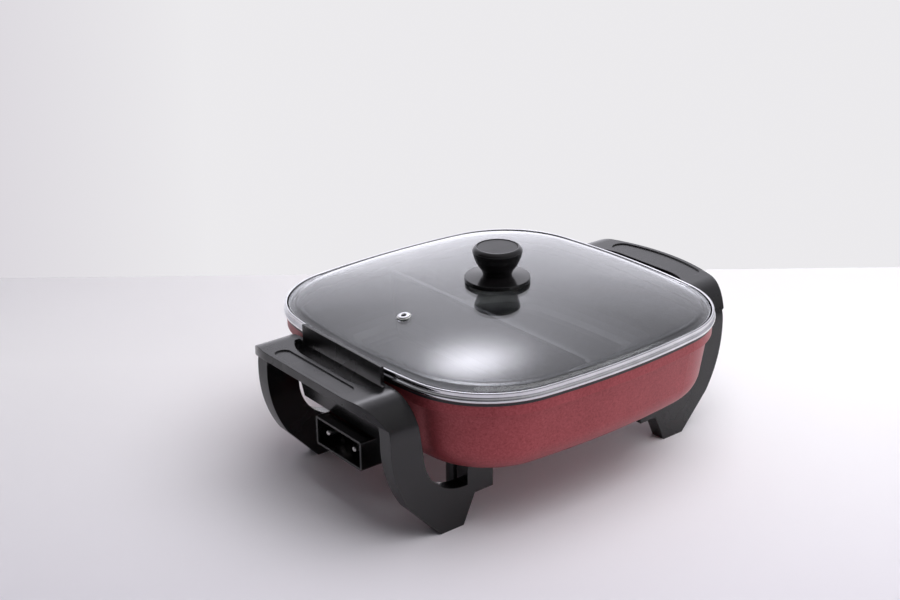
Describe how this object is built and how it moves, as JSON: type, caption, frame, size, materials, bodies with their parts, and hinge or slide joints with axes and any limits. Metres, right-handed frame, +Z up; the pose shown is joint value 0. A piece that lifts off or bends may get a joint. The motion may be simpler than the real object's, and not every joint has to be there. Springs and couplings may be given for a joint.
{
  "type": "electric skillet",
  "caption": "Square electric skillet with a divided cast pan, moulded handle legs, a socket for a thermostat plug and a domed glass lid that lifts off.",
  "frame": {"origin": "on the floor under the middle of the whole object", "axes": "+Z up, X through the two handles with the socket at -X, Y along the grips"},
  "size_m": [0.3882, 0.3, 0.1733],
  "materials": {
    "burgundy_enamel": "gloss",
    "black_bakelite": "satin",
    "tempered_glass": "gloss",
    "polished_steel": "polished",
    "plated_steel": "satin",
    "white_ceramic": "matt",
    "silicone": "matt",
    "mica_board": "matt",
    "brass": "satin"
  },
  "bodies": {
    "base": {"pan_casting": "burgundy_enamel", "heating_element": "plated_steel", "terminal_pins": "plated_steel", "ceramic_bushes": "white_ceramic", "socket_shroud": "black_bakelite", "shroud_screws": "plated_steel", "socket_bracket": "black_bakelite", "opposite_bracket": "black_bakelite", "socket_bracket_screws": "plated_steel", "socket_insulating_washers": "mica_board", "opposite_bracket_screws": "plated_steel", "opposite_insulating_washers": "mica_board"},
    "lid": {"lid_glass": "tempered_glass", "lid_rim": "polished_steel", "vent_eyelet": "polished_steel", "vent_washer": "silicone", "knob_base": "black_bakelite", "knob_grip": "black_bakelite", "knob_cap": "black_bakelite", "knob_insert": "brass", "knob_gasket": "silicone", "knob_washer": "plated_steel", "knob_screw": "plated_steel"}
  },
  "joints": [
    {"name": "lid_lift", "type": "slide", "parent": "base", "child": "lid", "axis": [0, 0, 1], "range_m": [0, 0.12]}
  ]
}
